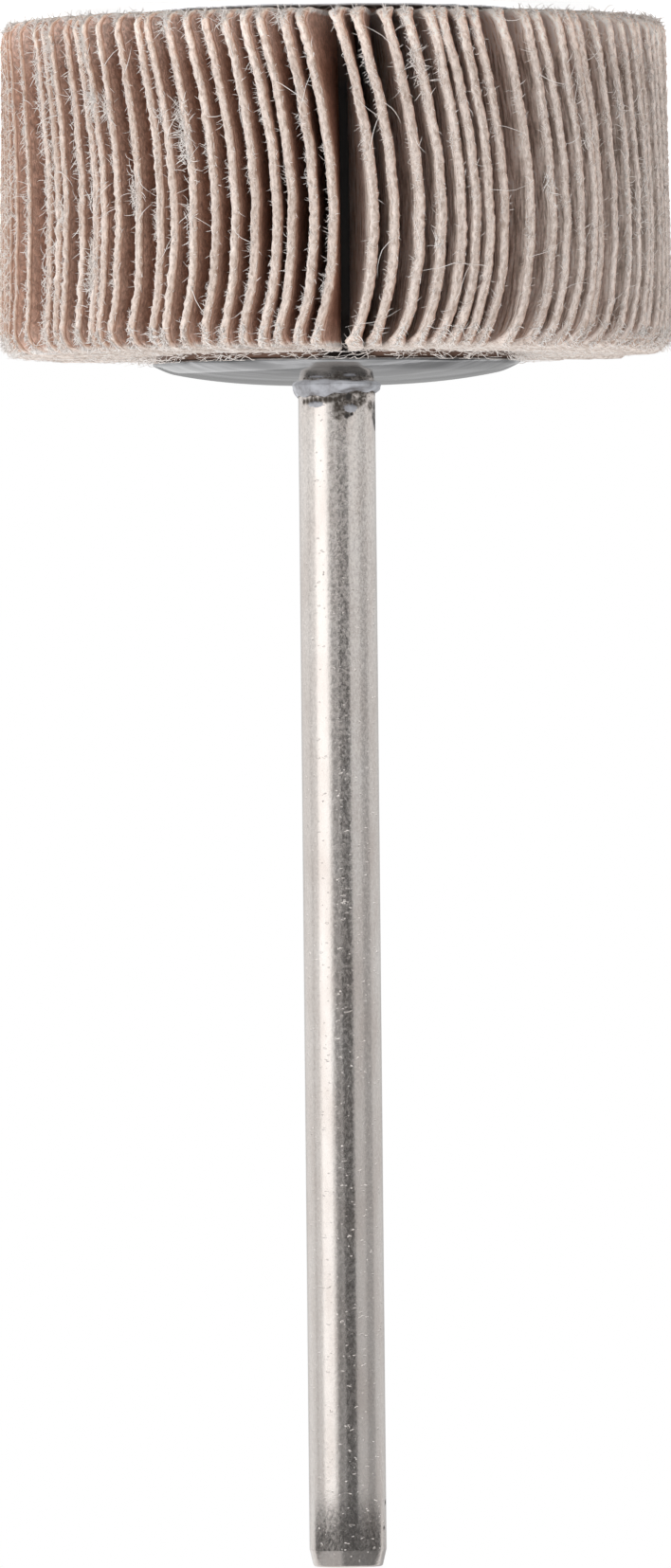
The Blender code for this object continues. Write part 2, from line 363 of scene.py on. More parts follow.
class Finish(Nodes):
    """A Principled material in the making."""

    def __init__(self, name, roughness, metallic=0.0, specular=0.5):
        self.material = bpy.data.materials.new(name)
        self.material.use_nodes = True
        super().__init__(self.material.node_tree)
        self.shader = self.tree.nodes["Principled BSDF"]
        self.set("Roughness", roughness)
        self.set("Metallic", metallic)
        self.set("Specular IOR Level", specular)

    def set(self, name, value):
        self.put(self.shader.inputs[name], value)

    def bump(self, height, distance, strength=1.0):
        made = self.add("ShaderNodeBump", {"Height": height, "Distance": distance, "Strength": strength})
        self.set("Normal", made.outputs["Normal"])


def painted_rim_light(finish, place, ragged):
    """1 at the rim of a flap and 0 well inside it, with a soft uneven border: the mask of painted light on
    the grit face near the rim.
    """
    depth = finish.math("SUBTRACT", finish.split(place)["X"], (WHEEL_RADIUS - RIM_LIGHT_DEPTH) / MM)
    share = finish.math("ADD", finish.math("MULTIPLY", depth, 1.3), ragged)
    return finish.clamp(finish.math("SUBTRACT", share, 0.45))


def end_depths(finish, place):
    """How far a point of a sheet is from its head-side end and from its shank-side end, in mm."""
    height = finish.split(place)["Y"]
    head = finish.math("SUBTRACT", height, WHEEL_LOW / MM)
    tail = finish.math("SUBTRACT", (WHEEL_LOW + WHEEL_WIDTH) / MM, height)
    return head, tail


def painted_end_light(finish, place, color, head_light, tail_light):
    """The colour of a sheet, multiplied by painted light towards each end, strongest at the head end, and
    kept no paler than PALEST.
    """
    head, tail = end_depths(finish, place)
    soft_light = tuple(1.0 + 0.45 * (part - 1.0) for part in rgb(head_light))
    head_stops = [(0.0, head_light), (0.40, soft_light), (1.0, 1.0)]
    tail_stops = [(0.0, tail_light), (0.95, 1.0)]
    color = finish.times(color, finish.ramp(finish.math("MULTIPLY", head, 0.45), head_stops))
    color = finish.times(color, finish.ramp(finish.math("MULTIPLY", tail, 0.75), tail_stops))
    return finish.mix(1.0, color, PALEST, "DARKEN")


def near_end(finish, place, ragged):
    """1 where a sheet frays at its two ends and 0 further in, with an uneven border."""
    depth = finish.math("MINIMUM", *end_depths(finish, place))
    share = finish.math("ADD", finish.math("MULTIPLY", depth, -5.0), ragged)
    return finish.clamp(finish.math("ADD", share, 0.95))


def painted_gap_light(finish, place):
    """A factor that rises from 1 at the rim towards the hub: painted light that lifts the shade deep between
    the flaps.
    """
    depth = finish.math("SUBTRACT", finish.split(place)["X"], HUB_RADIUS / MM)
    share = finish.math("DIVIDE", depth, (WHEEL_RADIUS - HUB_RADIUS) / MM)
    return finish.ramp(share, [(0.0, 1.45), (0.55, 1.25), (0.92, 1.0)])


def grit_material():
    """The abrasive face: brown grains in resin, paler where it frays at its ends, with painted light near the
    rim, towards the hub and towards the ends.
    """
    made = Finish("grit", 0.72, specular=0.35)
    place = made.attribute("sheet_place", "Vector")
    coarse = made.noise(place, 0.9)
    grains = made.noise(made.stretch(place, (8.0, 5.4, 1.0)), 1.0, 3.0, 0.68)
    patches = made.ramp(coarse, [(0.30, (0.285, 0.142, 0.096)), (0.70, (0.385, 0.205, 0.145))])
    # Painted light: the grit face is paler near the rim, where the gaps open to the light.
    patches = made.mix(painted_rim_light(made, place, coarse), patches, (0.51, 0.315, 0.240))
    patches = made.mix(near_end(made, place, coarse), patches, (0.74, 0.60, 0.52))
    # Painted light: the grit is brightened towards the hub, deep in the shaded gaps.
    patches = made.times(patches, painted_gap_light(made, place))
    # Painted light: the grit is paler towards both ends, most at the head end.
    patches = painted_end_light(made, place, patches, (1.85, 2.35, 2.75), (1.65, 1.95, 2.15))
    speckle = made.ramp(grains, [(0.32, 0.62), (0.50, 0.96), (0.68, 1.38)])
    made.set("Base Color", made.times(patches, speckle))
    made.bump(grains, 0.05 * MM)
    return made.material


def cloth_material():
    """The cotton back: yarns that run along the axis, dulled by size and dust."""
    made = Finish("cloth_back", 0.9, specular=0.2)
    place = made.attribute("sheet_place", "Vector")
    lines = made.noise(made.stretch(place, (5.0, 0.75, 1.0)), 1.0, 3.0, 0.62, 0.3)
    fuzz = made.noise(place, 7.0, 3.0, 0.6)
    yarns = made.ramp(lines, [
        (0.38, (0.38, 0.315, 0.270)), (0.50, (0.71, 0.61, 0.545)), (0.62, (0.97, 0.88, 0.81)),
    ])
    yarns = made.mix(near_end(made, place, lines), yarns, (0.82, 0.73, 0.67))
    color = made.times(yarns, made.ramp(fuzz, [(0.30, 0.80), (0.70, 1.12)]))
    # Painted light: the cloth is brightened towards the hub, deep in the shaded gaps.
    color = made.times(color, painted_gap_light(made, place))
    # Painted light: the cloth is paler towards both ends, most at the head end.
    made.set("Base Color", painted_end_light(made, place, color, 2.1, 1.30))
    made.bump(lines, 0.09 * MM)
    return made.material


def edge_material():
    """The cut edge: matted cotton ends, with a thin tan line of resin on the grit's side."""
    made = Finish("cut_edge", 0.95, specular=0.15)
    place = made.attribute("sheet_place", "Vector")
    matted = made.noise(made.stretch(place, (1.0, 0.55, 0.85)), 7.5, 3.0, 0.58, 0.3)
    # The last stop darkens the cloth-side corner of the cut edge: painted shade.
    band = made.ramp(made.attribute("across", "Fac"), [
        (0.0, (0.36, 0.195, 0.135)), (0.18, (0.50, 0.335, 0.260)), (0.38, (0.67, 0.550, 0.480)),
        (0.58, (0.76, 0.665, 0.610)), (0.90, (0.80, 0.715, 0.665)), (1.0, (0.66, 0.570, 0.515)),
    ])
    band = made.mix(near_end(made, place, matted), band, (0.80, 0.715, 0.660))
    tufts = made.ramp(matted, [(0.33, (0.66, 0.61, 0.575)), (0.50, 0.95), (0.66, 1.14)])
    color = made.times(band, tufts)
    own = made.noise(made.stretch(place, (0.0, 0.16, 3.7)), 1.0, 2.0, 0.5)
    color = made.times(color, made.ramp(own, [(0.34, (0.80, 0.77, 0.75)), (0.62, 1.06)]))
    # Painted light: the cut edge is paler towards both ends, most at the head end.
    made.set("Base Color", painted_end_light(made, place, color, 1.60, 1.10))
    made.bump(matted, 0.035 * MM, 0.9)
    return made.material


def fibre_material():
    """Loose cotton, a little darker here and there."""
    made = Finish("cotton_fibre", 0.85, specular=0.2)
    tone = made.noise(made.object_place(), 900.0, 2.0, 0.5)
    made.set("Base Color", made.ramp(tone, [(0.3, (0.93, 0.865, 0.82)), (0.7, (0.99, 0.965, 0.945))]))
    return made.material


def near_spots(finish, place, spots, ragged, raggedness):
    """1 at any of the spots on the shank and 0 beyond their radii, with a ragged edge."""
    nearest = None
    for angle, height, radius in spots:
        turn = math.radians(angle)
        point = (SHANK_RADIUS * math.cos(turn), SHANK_RADIUS * math.sin(turn), height * MM)
        share = finish.math("DIVIDE", finish.distance(place, point), radius * MM)
        share = finish.math("ADD", share, finish.math("MULTIPLY", ragged, raggedness))
        fade = finish.math("SUBTRACT", 1.0 + raggedness / 2, share)
        near = finish.clamp(finish.math("MULTIPLY", fade, 1.5))
        nearest = near if nearest is None else finish.math("MAXIMUM", nearest, near)
    return nearest


def near_collar(finish, place, ragged):
    """1 on the soiled stretch of the shank just past the adhesive, in patches, and 0 beyond."""
    past = finish.math("SUBTRACT", COLLAR_HEIGHT, finish.split(place)["Z"])
    past = finish.math("DIVIDE", past, COLLAR_FADE)
    patches = finish.math("SUBTRACT", finish.math("ADD", past, ragged), 0.98)
    return finish.clamp(finish.math("MULTIPLY", patches, 3.5))


def shank_material():
    """Bright drawn steel: lines along its length, a fine grain, and a few nicks."""
    made = Finish("bright_steel", 0.22, 1.0)
    place = made.object_place()
    drawn = made.noise(made.stretch(place, (8000.0, 8000.0, 90.0)), 1.0, 3.0, 0.6)
    grain = made.noise(made.stretch(place, (1.0, 1.0, 0.60)), 10500.0, 3.0, 0.68)
    nicks = made.noise(made.stretch(place, (1.0, 1.0, 1.8)), 4200.0, 1.0, 0.5)
    nicks = made.ramp(nicks, [(0.70, 0.0), (0.75, 1.0)])
    stain = made.noise(made.stretch(place, (1.0, 1.0, 0.35)), 900.0, 3.0, 0.6)
    tint = made.ramp(stain, [
        (0.30, (0.59, 0.535, 0.500)), (0.55, (0.655, 0.610, 0.578)), (0.80, (0.69, 0.655, 0.63)),
    ])
    tint = made.times(tint, made.ramp(grain, [(0.36, 0.91), (0.60, 1.04)]))
    ragged = made.noise(place, 3200.0, 2.0, 0.6)
    soiled = near_spots(made, place, SOILED, ragged, SPOT_RAGGEDNESS)
    dirt = made.math("MAXIMUM", near_collar(made, place, stain), soiled)
    crumbs = made.ramp(made.noise(place, 9000.0, 3.0, 0.65), [(0.36, 0.40), (0.54, 1.0)])
    dirt = made.math("MULTIPLY", dirt, crumbs)
    dirt = made.math("MAXIMUM", dirt, near_spots(made, place, DARK_BAND, ragged, DARK_BAND_RAGGEDNESS))
    black = near_spots(made, place, STAINS, ragged, SPOT_RAGGEDNESS)
    made.set("Base Color", made.mix(black, made.mix(dirt, tint, SOIL), STAIN_BLACK))
    made.set("Metallic", made.math("SUBTRACT", 1.0, black))
    dull = made.ramp(grain, [(0.36, 0.15), (0.64, 0.27)])
    made.set("Roughness", made.mix(made.math("MAXIMUM", dirt, black), dull, 0.62))
    relief = made.math("ADD", made.math("MULTIPLY", drawn, 0.25), grain)
    relief = made.math("ADD", relief, made.math("MULTIPLY", nicks, 4.5))
    made.bump(relief, 0.0032 * MM)
    return made.material


def washer_material(name, lift, dullness):
    """Plated sheet steel with streaks and handling marks. lift and dullness make it paler and duller; a lift
    above 1 is painted light.
    """
    made = Finish(name, 0.34, 1.0)
    place = made.object_place()
    streaks = made.noise(made.stretch(place, (260.0, 1400.0, 260.0)), 1.0, 4.0, 0.6, 0.3)
    blotches = made.noise(place, 520.0, 3.0, 0.6)
    tone = made.ramp(streaks, [
        (0.36, (0.23, 0.23, 0.235)), (0.52, (0.31, 0.31, 0.316)), (0.66, (0.46, 0.46, 0.47)),
    ])
    patches = made.ramp(blotches, [(0.3, 0.85 * lift), (0.7, 1.1 * lift)])
    made.set("Base Color", made.times(tone, patches))
    made.set("Roughness", made.ramp(blotches, [(0.3, 0.05 + dullness), (0.7, 0.12 + dullness)]))
    made.bump(streaks, 0.01 * MM, 0.5)
    return made.material


def adhesive_material():
    """Cured adhesive: grey-white, half glossy, with dust in it."""
    made = Finish("adhesive", 0.38)
    clouds = made.noise(made.object_place(), 1300.0, 4.0, 0.6)
    made.set("Base Color", made.ramp(clouds, [
        (0.34, (0.19, 0.18, 0.185)), (0.46, (0.37, 0.37, 0.395)), (0.64, (0.55, 0.56, 0.60)),
    ]))
    made.bump(clouds, 0.07 * MM, 0.9)
    return made.material


def resin_material():
    """The cast resin of the hub, dark brown, with painted shade near the slit and painted light towards its
    head end.
    """
    made = Finish("cast_resin", 0.5)
    place = made.object_place()
    clouds = made.noise(place, 800.0, 3.0, 0.6)
    color = made.ramp(clouds, [(0.3, (0.15, 0.088, 0.064)), (0.7, (0.23, 0.140, 0.104))])
    slit = (HUB_RADIUS * math.cos(SLIT_ANGLE), HUB_RADIUS * math.sin(SLIT_ANGLE), 0.0)
    from_slit = made.distance(made.stretch(place, (1.0, 1.0, 0.0)), slit)
    # Painted shade: the resin is darkened close to the slit.
    shade = made.ramp(made.math("DIVIDE", from_slit, 2.0 * MM), [(0.34, 0.05), (0.60, 1.0)])
    height = made.math("DIVIDE", made.split(place)["Z"], 4.0 * MM)
    # Painted light: towards the head end the resin is lifted to 1.8 times its colour, also in the slit.
    shade = made.mix(made.ramp(height, [(0.30, 1.0), (0.85, 0.0)]), shade, 1.8)
    made.set("Base Color", made.times(color, shade))
    made.bump(clouds, 0.05 * MM, 0.5)
    return made.material


def rim_gaps(count, rng):
    """Gaps between neighbours at the rim, in mean gaps. Each run of flaps keeps its share."""
    gaps = []
    while len(gaps) < count:
        run = [rng.uniform(*RIM_GAP_RANGE) for _ in range(min(RIM_GAP_RUN, count - len(gaps)))]
        scale = len(run) / sum(run)
        gaps.extend(gap * scale for gap in run)
    return gaps


def flap_angles():
    """(root angle, rim angle, head-side lag, shank-side lag) of each flap, round from the slit."""
    rng = random.Random(SEED)
    gaps = rim_gaps(FLAP_COUNT - 1, rng)
    root_pitch = (2 * math.pi - SLIT_AT_HUB) / FLAP_COUNT
    rim_pitch = (2 * math.pi - SLIT_AT_RIM) / (FLAP_COUNT - 1)
    root = SLIT_ANGLE + (SLIT_AT_HUB + root_pitch) / 2
    rim = SLIT_ANGLE + SLIT_AT_RIM / 2
    found = []
    for i in range(FLAP_COUNT):
        head_lag = HEAD_LAG + rng.uniform(-1.0, 1.0) * HEAD_LAG_SPREAD
        head_lag += math.radians(HEAD_LEANS.get(i, 0.0))
        shank_lag = SHANK_SIDE_LAG - SHANK_SIDE_LAG_SWING * math.cos(rim)
        shift = math.radians(RIM_SHIFTS.get(i, 0.0))
        found.append((root, rim + shift - BOW_LEAN, head_lag, shank_lag))
        root += root_pitch
        if i < FLAP_COUNT - 1:
            rim += rim_pitch * gaps[i]
    return found


class Wave:
    """A smooth random wave along one length, made of a few sines."""

    def __init__(self, rng, lengths, count=6):
        short, long = lengths
        self.parts = []
        for _ in range(count):
            length = short * (long / short) ** rng.random()
            self.parts.append((2 * math.pi / length, rng.uniform(0, 2 * math.pi), rng.uniform(0.5, 1.0)))
        self.scale = 1.0 / math.sqrt(sum(size * size for _, _, size in self.parts))

    def __call__(self, along):
        total = sum(size * np.sin(rate * along + phase) for rate, phase, size in self.parts)
        return total * self.scale


def unit(vectors):
    return vectors / np.maximum(np.linalg.norm(vectors, axis=-1, keepdims=True), 1e-12)


def axial_stops(low, high):
    """Heights of a flap's rows, close together round its corners."""
    turn = np.linspace(0.0, math.pi / 2, CORNER_STOPS + 1)[:-1]
    climb = (1.0 - np.cos(turn)) * 0.999
    straight = np.linspace(low + HEAD_CORNER, high - RIM_CORNER, STRAIGHT_STOPS + 1)
    return np.concatenate([low + HEAD_CORNER * climb, straight, (high - RIM_CORNER * climb)[::-1]])


def corner_inset(heights, low, high):
    """How far a flap's outline draws in from the rim at these heights."""
    head = np.clip(HEAD_CORNER - (heights - low), 0.0, HEAD_CORNER)
    tail = np.clip(RIM_CORNER - (high - heights), 0.0, RIM_CORNER)
    return HEAD_CORNER + RIM_CORNER - np.sqrt(HEAD_CORNER**2 - head**2) - np.sqrt(RIM_CORNER**2 - tail**2)


class Flap:
    """One bent strip of cloth, as a function from (radius, height) to a point."""

    def __init__(self, facts, rng):
        self.root, self.rim, self.head_lag, self.shank_lag = facts
        self.low = WHEEL_LOW
        self.rim_radius = WHEEL_RADIUS + rng.uniform(-1.0, 0.6) * RIM_SPREAD
        self.high = WHEEL_LOW + WHEEL_WIDTH + rng.uniform(-1.0, 0.8) * END_SPREAD
        self.slow = Wave(rng, SLOW_WAVE_LENGTHS, 3)
        self.rope = Wave(rng, ROPE_WAVE_LENGTHS)
        self.thick = Wave(rng, ROPE_WAVE_LENGTHS)
        self.fray = Wave(rng, FRAY_WAVE_LENGTHS)
        self.fluff = Wave(rng, FRAY_WAVE_LENGTHS)
        self.layer = rng.random() * NOISE_LAYERS
        self.splay = rng.uniform(0.6, 1.1)
        self.wobble = 1.0 + SIDE_WOBBLE * math.cos(self.rim) ** 2
        self.grain = np.random.default_rng(rng.getrandbits(32))

    def lag(self, share):
        """How far the sheet trails its bow, as an angle, at this share of its height."""
        head = np.clip((BOW_APEX - share) / BOW_APEX, 0.0, None) ** HEAD_LAG_POWER
        tail = np.clip((share - BOW_APEX) / (1.0 - BOW_APEX), 0.0, None) ** SHANK_SIDE_LAG_POWER
        return self.head_lag * head + self.shank_lag * tail

    def point(self, radius, height):
        reach = np.clip((radius - ROOT_RADIUS) / (WHEEL_RADIUS - ROOT_RADIUS), 0.0, 1.1)
        share = (height - self.low) / WHEEL_WIDTH
        lean = self.rim - self.root + BOW_LEAN + self.lag(np.clip(share, 0.0, 1.0))
        angle = self.root + lean * reach**BEND_POWER
        sway = SLOW_WAVE * self.slow(height) * reach**2 + ROPE_WAVE * 0.5 * self.rope(height) * reach**4
        angle = angle + self.wobble * sway / radius
        return np.stack([radius * np.cos(angle), radius * np.sin(angle), height + 0 * radius], axis=-1)

    def frame_at(self, radius, height):
        """(point, direction outward along the sheet, direction up the sheet, normal on the grit's side)."""
        step = 0.01 * MM
        here = self.point(radius, height)
        out = unit(self.point(radius + step, height) - here)
        up = unit(self.point(radius, height + step) - here)
        return here, out, up, unit(np.cross(out, up))

    def outline(self, heights):
        """The rim radius at these heights, with its flare and its rounded corners."""
        share = (heights - self.low) / (self.high - self.low)
        flare = RIM_FLARE * (2 * share - 1)
        return self.rim_radius + flare - corner_inset(heights, self.low, self.high)

    def corner_drop(self, radius):
        """How far an end draws back near its rounded corner, at these radii."""
        into = np.clip(radius - (self.rim_radius - RIM_CORNER), 0.0, RIM_CORNER)
        return RIM_CORNER - np.sqrt(RIM_CORNER**2 - into**2)


def end_rise(radius):
    """How far the shank-side ends stand up towards the washer, from nothing at the rim."""
    share = np.clip((WHEEL_RADIUS - radius) / (WHEEL_RADIUS - HUB_RADIUS), 0.0, 1.0)
    return END_RISE * share * (1.8 - 1.6 * share)


def free_edges(rows, columns):
    """Row and column numbers of a sheet's points along its three free edges, from root to root."""
    border = [(0, column) for column in range(columns)]
    border += [(row, columns - 1) for row in range(1, rows)]
    border += [(rows - 1, column) for column in range(columns - 2, -1, -1)]
    return tuple(np.array(border).T)


def flap_mesh(flap):
    """Vertices, faces, material numbers and attributes of one flap with a bulging cut edge."""
    heights = axial_stops(flap.low, flap.high)
    inner_low = flap.low + EDGE_BULGE
    inner_high = flap.high - EDGE_BULGE
    climb = (heights - flap.low) / (flap.high - flap.low)
    inner = inner_low + climb * (inner_high - inner_low)
    from_end = np.minimum(inner - inner_low, inner_high - inner)[:, None]
    rim = (flap.outline(heights) - EDGE_BULGE)[:, None]
    radius = ROOT_RADIUS + (rim - ROOT_RADIUS) * np.array(SHEET_STOPS)
    height = inner[:, None] + end_rise(radius) * climb[:, None] ** END_RISE_POWER
    here, out, up, normal = flap.frame_at(radius, height)

    near_edge = np.clip(1.0 - np.minimum(rim - radius, from_end) / SWELL_REACH, 0.0, 1.0)
    half = FLAP_THICKNESS / 2 * (CORE_SWELL + (EDGE_SWELL - CORE_SWELL) * near_edge)
    half = half + near_edge * ROPE_WAVE * flap.thick(height + radius * 0.7)
    room = np.clip(radius * 2 * math.pi / FLAP_COUNT - FLAP_THICKNESS, 0.0, None)
    splay = np.clip(1.0 - from_end / END_SPLAY_LENGTH, 0.0, 1.0) ** END_SPLAY_POWER
    half = (half + END_SPLAY_SHARE * room * splay * flap.splay)[..., None]

    at = free_edges(*radius.shape)
    middle = here[at]
    flat = np.stack([radius[at], height[at]], axis=-1)
    along = np.gradient(flat, axis=0)
    away = unit(np.stack([along[:, 1], -along[:, 0]], axis=-1))
    outward = out[at] * away[:, :1] + up[at] * away[:, 1:]
    walked = np.concatenate([[0.0], np.cumsum(np.linalg.norm(np.diff(flat, axis=0), axis=1))])
    ragged = (FRAY_WAVE * flap.fray(walked))[:, None]
    fluffy = (CLOTH_FRAY * flap.wobble * flap.fluff(walked))[:, None]
    points = [(here + normal * half).reshape(-1, 3), (here - normal * half).reshape(-1, 3)]
    for row in range(1, EDGE_ROWS):
        turn = math.pi * row / EDGE_ROWS
        lift = (EDGE_BULGE + ragged) * math.sin(turn) ** EDGE_SQUARE
        aside = math.copysign(abs(math.cos(turn)) ** EDGE_SQUARE, math.cos(turn))
        grain = flap.grain.normal(size=middle.shape) * EDGE_GRAIN
        aside = half[at] * aside - fluffy * row / EDGE_ROWS
        points.append(middle + normal[at] * aside + outward * lift + grain)

    count = radius.size
    length = len(middle)
    grid = np.arange(count).reshape(radius.shape)
    quads = np.stack([grid[:-1, :-1], grid[:-1, 1:], grid[1:, 1:], grid[1:, :-1]], axis=-1).reshape(-1, 4)
    faces = [quads, quads[:, [0, 3, 2, 1]] + count]
    numbers = [np.full(len(quads), 0), np.full(len(quads), 1)]
    chains = [grid[at]]
    chains += [2 * count + (row - 1) * length + np.arange(length) for row in range(1, EDGE_ROWS)]
    chains.append(grid[at] + count)
    for first, second in zip(chains[:-1], chains[1:]):
        faces.append(np.stack([first[:-1], second[:-1], second[1:], first[1:]], axis=1))
        numbers.append(np.full(length - 1, 2))

    across = [np.zeros(count), np.ones(count)]
    sheet = np.stack([radius / MM, height / MM, np.full_like(radius, flap.layer)], axis=-1)
    places = [sheet.reshape(-1, 3), sheet.reshape(-1, 3)]
    for row in range(1, EDGE_ROWS):
        share = row / EDGE_ROWS
        across.append(np.full(length, share))
        places.append(np.column_stack([flat / MM, np.full(length, flap.layer + share)]))
    return [np.concatenate(part) for part in (points, faces, numbers, across, places)]


def mesh_from_arrays(name, points, faces, numbers=None, materials=()):
    """A mesh object from arrays of vertices and of quads or triangles."""
    mesh = bpy.data.meshes.new(name)
    sides = faces.shape[1]
    mesh.vertices.add(len(points))
    mesh.vertices.foreach_set("co", points.astype(np.float32).ravel())
    mesh.loops.add(faces.size)
    mesh.loops.foreach_set("vertex_index", faces.astype(np.int32).ravel())
    mesh.polygons.add(len(faces))
    mesh.polygons.foreach_set("loop_start", np.arange(0, faces.size, sides, dtype=np.int32))
    mesh.polygons.foreach_set("loop_total", np.full(len(faces), sides, dtype=np.int32))
    if numbers is not None:
        mesh.polygons.foreach_set("material_index", numbers.astype(np.int32))
    mesh.update(calc_edges=True)
    mesh.shade_smooth()
    return in_scene(name, mesh, materials)


def in_scene(name, mesh, materials):
    """The mesh as an object of the scene, in these materials."""
    for finish in materials:
        mesh.materials.append(finish)
    obj = bpy.data.objects.new(name, mesh)
    bpy.context.scene.collection.objects.link(obj)
    return obj


def from_model(name, model, finish, smooth=True):
    """The bmesh as an object of the scene. The bmesh is used up."""
    mesh = bpy.data.meshes.new(name)
    model.to_mesh(mesh)
    model.free()
    if smooth:
        mesh.shade_smooth()
    return in_scene(name, mesh, [finish])


def joined(parts):
    """Several (vertices, faces) as one, with the faces numbered on."""
    starts = np.cumsum([0] + [len(points) for points, _ in parts])
    faces = [faces + start for (_, faces), start in zip(parts, starts)]
    return np.concatenate([points for points, _ in parts]), np.concatenate(faces)


def quarters(flaps):
    """(name, flaps) of each quarter of the wheel, round from the slit."""
    share = math.ceil(len(flaps) / len(FLAP_PIECES))
    return [(name, flaps[i * share:(i + 1) * share]) for i, name in enumerate(FLAP_PIECES)]


def make_flaps(flaps, finishes):
    """The flaps in four pieces, with each point's place on its sheet for the materials."""
    pieces = []
    for name, own in quarters(flaps):
        made = [flap_mesh(flap) for flap in own]
        points, faces = joined([part[:2] for part in made])
        numbers, across, places = [np.concatenate([part[i] for part in made]) for i in (2, 3, 4)]
        obj = mesh_from_arrays(f"flaps_{name}", points, faces, numbers, finishes)
        layer = obj.data.attributes.new("across", "FLOAT", "POINT")
        layer.data.foreach_set("value", across.astype(np.float32))
        layer = obj.data.attributes.new("sheet_place", "FLOAT_VECTOR", "POINT")
        layer.data.foreach_set("vector", places.astype(np.float32).ravel())
        pieces.append(obj)
    return pieces


def grow(rng, starts, headings, lengths, count, curl):
    """Threads from their starts, as one array of (threads, points, 3). Each wanders as it goes."""
    direction = unit(headings)
    bend = unit(rng.normal(size=starts.shape)) * curl
    line = [starts]
    for _ in range(count - 1):
        direction = unit(direction + bend + rng.normal(size=starts.shape) * curl * 0.45)
        line.append(line[-1] + direction * (lengths / (count - 1))[:, None])
    return np.stack(line, axis=1)


def tube_mesh(lines, radii):
    """Vertices and triangles of thin three-sided threads along the lines."""
    count, steps = lines.shape[:2]
    along = unit(np.gradient(lines, axis=1))
    side = unit(np.cross(along, np.array([0.31, 0.52, 0.79])))
    other = np.cross(along, side)
    taper = radii[:, None, None] * (1.0 - 0.75 * (np.arange(steps) / (steps - 1)) ** 3)[None, :, None]
    ring = []
    for corner in range(3):
        turn = 2 * math.pi * corner / 3
        ring.append(lines + taper * (side * math.cos(turn) + other * math.sin(turn)))
    points = np.stack(ring, axis=2).reshape(-1, 3)
    index = np.arange(count * steps * 3).reshape(count, steps, 3)
    faces = []
    for corner in range(3):
        following = (corner + 1) % 3
        a, b = index[:, :-1, corner].ravel(), index[:, :-1, following].ravel()
        c, d = index[:, 1:, following].ravel(), index[:, 1:, corner].ravel()
        faces.append(np.stack([a, b, c], axis=1))
        faces.append(np.stack([a, c, d], axis=1))
    faces.append(index[:, 0, ::-1])
    faces.append(index[:, -1, :])
    return points, np.concatenate(faces)


def rim_fibres(flap, rng, count):
    """Starts and headings of the fibres on one flap's rim. Many gather in tufts on the cloth's side."""
    low, high = flap.low + 0.1 * MM, flap.high - 0.1 * MM
    tufts = rng.uniform(low, high, RIM_TUFTS)
    gathered = tufts[rng.integers(0, RIM_TUFTS, count)] + rng.normal(size=count) * RIM_TUFT_SPREAD
    in_tuft = rng.random(count) < TUFT_SHARE
    where = np.where(in_tuft, np.clip(gathered, low, high), rng.uniform(low, high, count))
    depth = np.where(in_tuft, rng.uniform(0.0, 0.25, count), 0.04) * MM
    here, out, up, normal = flap.frame_at(flap.outline(where) - depth, where)
    slide = np.where(in_tuft, rng.uniform(-1.0, -0.5, count), rng.uniform(-0.9, 0.9, count))
    heading = out * rng.uniform(0.0, 0.40, (count, 1))
    heading = heading - normal * rng.normal(0.35, 0.50, (count, 1))
    heading = heading + up * rng.normal(0.0, 0.95, (count, 1))
    return here + normal * slide[:, None] * FLAP_THICKNESS / 2, heading


def corner_fibres(flap, rng, count, sign):
    """Starts and headings of the fibres that mat a rounded corner and lie over the next gap."""
    corner = RIM_CORNER if sign > 0 else HEAD_CORNER
    turn = rng.uniform(*FRINGE_TURN[sign], count)
    radius = flap.rim_radius + sign * RIM_FLARE - corner * (1.0 - np.sin(turn))
    end = flap.high if sign > 0 else flap.low
    height = end - sign * corner * (1.0 - np.cos(turn))
    here, out, up, normal = flap.frame_at(radius - 0.01 * MM, height - sign * 0.01 * MM)
    heading = normal * rng.normal(0.0, 0.55, (count, 1)) + out * rng.normal(0.1, 0.45, (count, 1))
    return here, heading + up * sign * rng.normal(0.1, 0.45, (count, 1))


def end_fibres(flap, rng, count, sign):
    """Starts and headings of the fibres that lie over one end of a flap."""
    spread = rng.uniform(HUB_RADIUS - 0.2 * MM, flap.rim_radius - 0.25 * MM, count)
    if sign > 0:
        end = flap.high + end_rise(spread) - flap.corner_drop(spread)
    else:
        end = flap.low + flap.corner_drop(spread)
    here, out, up, normal = flap.frame_at(spread, end - sign * 0.02 * MM)
    heading = up * sign * rng.uniform(0.0, 0.22, (count, 1))
    heading = heading + normal * rng.normal(size=(count, 1)) + out * rng.normal(size=(count, 1))
    return here, heading


def fibre_lines(rng, found, lengths, points, curl):
    """The lines of fibres with these starts and headings. One in four is longer."""
    starts = np.concatenate([start for start, _ in found])
    headings = np.concatenate([heading for _, heading in found])
    lengths = rng.uniform(*lengths, len(starts)) * rng.choice([1.0, 1.0, 1.0, 1.6], len(starts))
    return grow(rng, starts, headings, lengths, points, curl)


